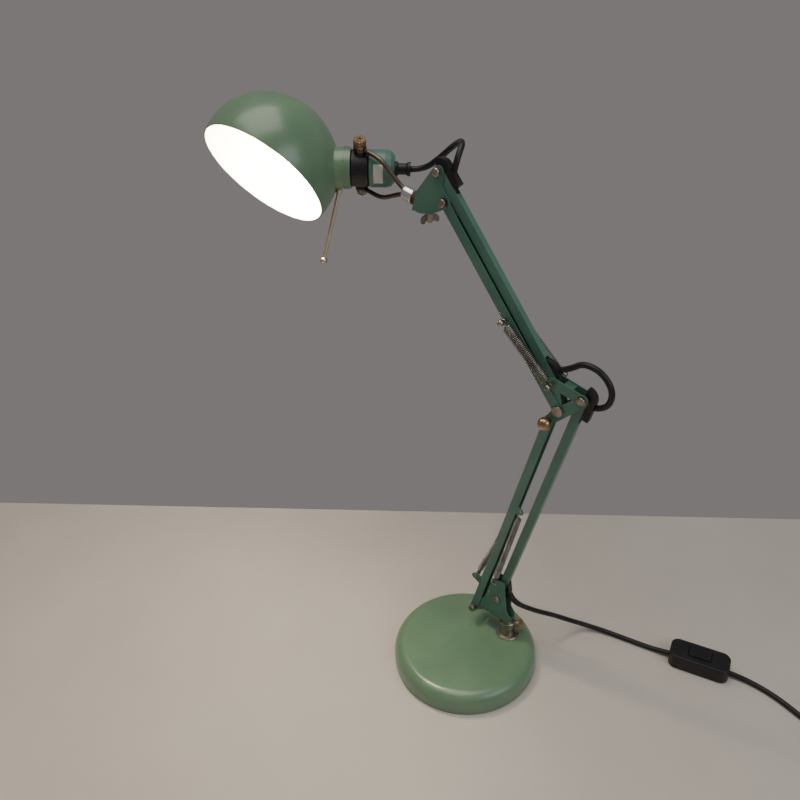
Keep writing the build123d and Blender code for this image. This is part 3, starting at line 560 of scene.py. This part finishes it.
LOWER_SPRING = {"radius": 3.1 * MM, "wire": 0.42 * MM, "pitch": 1.3 * MM,
                "bodies": ("lower_bracket", "lower_front_bar")}
UPPER_SPRING = {"radius": 4.4 * MM, "wire": 0.45 * MM, "pitch": 1.5 * MM, "hook": 4.5 * MM,
                "bodies": ("knee_bracket", "upper_front_bar")}
near_spring = spring("lower_spring_near", at_y(near_low, 6.3), at_y(near_high, 5.4),
                     hook=9 * MM, **LOWER_SPRING)
far_spring = spring("lower_spring_far", at_y(bracket_hook, -9), at_y(far_hook, -9),
                    hook=8 * MM, **LOWER_SPRING)
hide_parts("lower_springs")
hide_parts("lower_springs")
upper_low, upper_high = pin_place("knee_long_pin"), pin_place("upper_spring_pin")
for place, y in (("near", 11.2), ("far", -11.2)):
    upper_spring = spring(f"upper_spring_{place}", at_y(upper_low, y), at_y(upper_high, y), **UPPER_SPRING)
    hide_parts("upper_springs")


# ---- blank label on the lampholder cover ----
LABEL_BACK = 16  # mm, from the tilt axis back to the label's middle
LABEL_RADIUS, LABEL_LENGTH, LABEL_THICKNESS = 16.12 * MM, 8.5 * MM, 0.2 * MM
LABEL_SPAN = math.radians(62)
LABEL_LEAN = 0.35  # turned from the camera's side, against the tilt axis


def curved_plate(name, centre, axis, facing, radius, span, length, material):
    """A thin plate bent round a cylinder."""
    out = (facing - axis * facing.dot(axis)).normalized()
    other = axis.cross(out)
    rows, columns = 5, 12
    vertices, faces = [], []
    for i in range(rows + 1):
        for k in range(columns + 1):
            turn = span * (k / columns - 0.5)
            direction = out * math.cos(turn) + other * math.sin(turn)
            vertices.append(centre + axis * length * (i / rows - 0.5) + direction * radius)
    for i in range(rows):
        for k in range(columns):
            a = i * (columns + 1) + k
            faces.append((a, a + 1, a + columns + 2, a + columns + 1))
    piece = link_mesh(name, vertices, faces, material)
    thick = piece.modifiers.new("thickness", "SOLIDIFY")
    thick.thickness = LABEL_THICKNESS
    return piece


camera_side = (bpy.context.scene.camera.matrix_world.translation - fork_point).normalized()
label_side = (camera_side - tilt_axis * LABEL_LEAN).normalized()
label = curved_plate("rating_plate", fork_point - holder_axis * LABEL_BACK * MM, holder_axis, label_side,
                     LABEL_RADIUS, LABEL_SPAN, LABEL_LENGTH, paper)
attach(label, "lampholder")


# ---- stage ----
TABLE_WIDTH, TABLE_DEPTH = 2.4, 2.2
TABLE_RIGHT = 0.9  # from the point given on its far edge to its right-hand end
SURROUND_GREY = (0.2, 0.185, 0.185, 1)


def make_stage():
    """Plain pale table top, a grey surround, soft warm light from above and cool light from one side."""
    on_far_edge = Vector((-0.022, -0.295, 0))
    leftwards, nearer = Vector((0.843, 0.538, 0)), Vector((-0.538, 0.843, 0))
    far_right = on_far_edge - leftwards * TABLE_RIGHT
    far_left = far_right + leftwards * TABLE_WIDTH
    vertices = [far_right, far_left, far_left + nearer * TABLE_DEPTH, far_right + nearer * TABLE_DEPTH]
    m = Nodes("table_top")
    colour = m.mix(m.remap(m.noise(3, 6, 0.6), 0.35, 0.65, 0, 1), (0.66, 0.61, 0.54), (0.6, 0.55, 0.49))
    m.link(colour, m.shader.inputs["Base Color"])
    m.set(Roughness=0.6)
    floor = link_mesh("table_top", vertices, [(0, 1, 2, 3)], m.material, False)

    world = bpy.data.worlds.new("surround")
    world.use_nodes = True
    background = world.node_tree.nodes["Background"]
    background.inputs["Color"].default_value = SURROUND_GREY
    background.inputs["Strength"].default_value = 1.0
    bpy.context.scene.world = world

    def soft_light(name, place, aim, watts, width, colour):
        """One large soft light."""
        data = bpy.data.lights.new(name, "AREA")
        data.energy = watts
        data.size = width
        data.color = colour
        light = bpy.data.objects.new(name, data)
        light.location = place
        light.rotation_euler = (Vector(aim) - Vector(place)).to_track_quat("-Z", "Y").to_euler()
        bpy.context.collection.objects.link(light)

    warm, cool = (1.0, 0.95, 0.88), (0.85, 0.9, 1.0)
    soft_light("ceiling", (0.1, 0.2, 1.6), aim=(0, 0, 0.1), watts=9, width=1.0, colour=warm)
    soft_light("side", (-1.1, 0.2, 0.9), aim=(0, 0, 0.25), watts=4, width=0.7, colour=cool)


make_stage()
